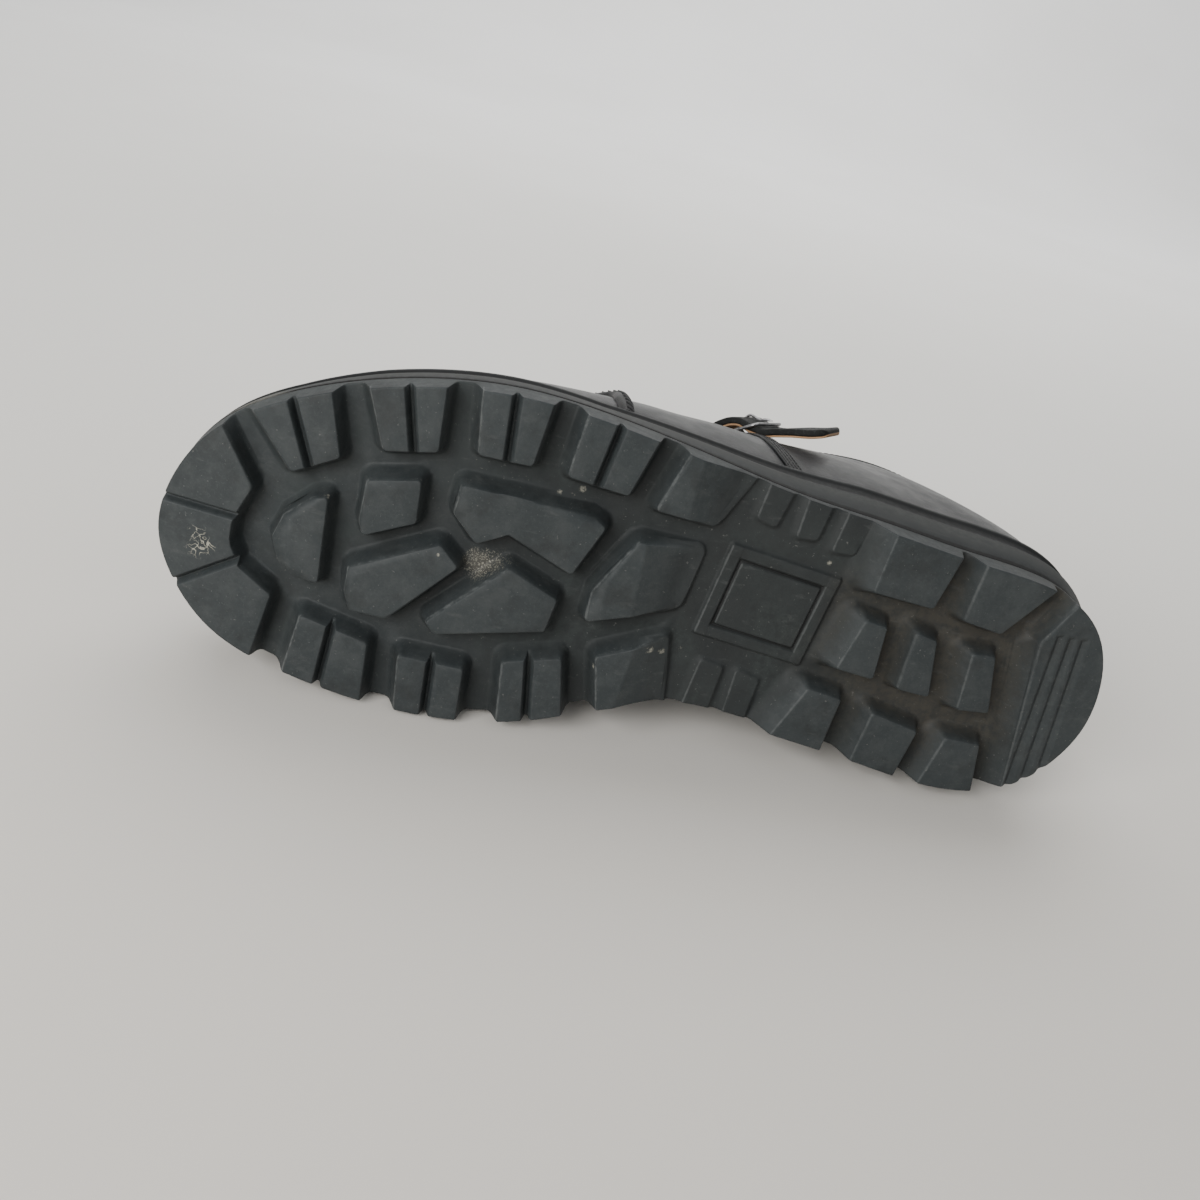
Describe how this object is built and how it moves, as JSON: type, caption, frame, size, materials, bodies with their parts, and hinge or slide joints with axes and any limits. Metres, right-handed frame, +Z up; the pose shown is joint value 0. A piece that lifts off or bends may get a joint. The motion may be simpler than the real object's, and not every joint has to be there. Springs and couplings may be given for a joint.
{
  "type": "sandal",
  "caption": "Left leather strap sandal with closed toe, sides and heel, a buckled instep strap, a raised vamp seam and a thick lugged rubber sole, lying on its medial side.",
  "frame": {"origin": "centre of the bounding box on the floor that the shoe lies on", "axes": "-X towards the toe, -Y out of the sole, +Z up and towards the shoe's lateral side, with the shoe leaning 4.8 degrees so that its sole edge and its upper both touch the floor"},
  "size_m": [0.3034, 0.1032, 0.1087],
  "materials": {
    "sole_rubber": "matt charcoal, dusty in the recesses",
    "rand_rubber": "satin charcoal",
    "upper_leather": "smooth satin black",
    "strap_leather": "satin black with a tan lining",
    "lining_leather": "plain tan",
    "buckle_metal": "dark nickel"
  },
  "bodies": {
    "root": {"outsole": "sole_rubber", "midsole": "rand_rubber", "insole": "lining_leather", "upper": "upper_leather", "apron_seam": "upper_leather", "quarter_seam_lateral": "upper_leather", "quarter_seam_medial": "upper_leather", "strap": "strap_leather", "buckle_tab": "strap_leather", "buckle_frame": "buckle_metal", "buckle_prong": "buckle_metal"}
  },
  "joints": []
}
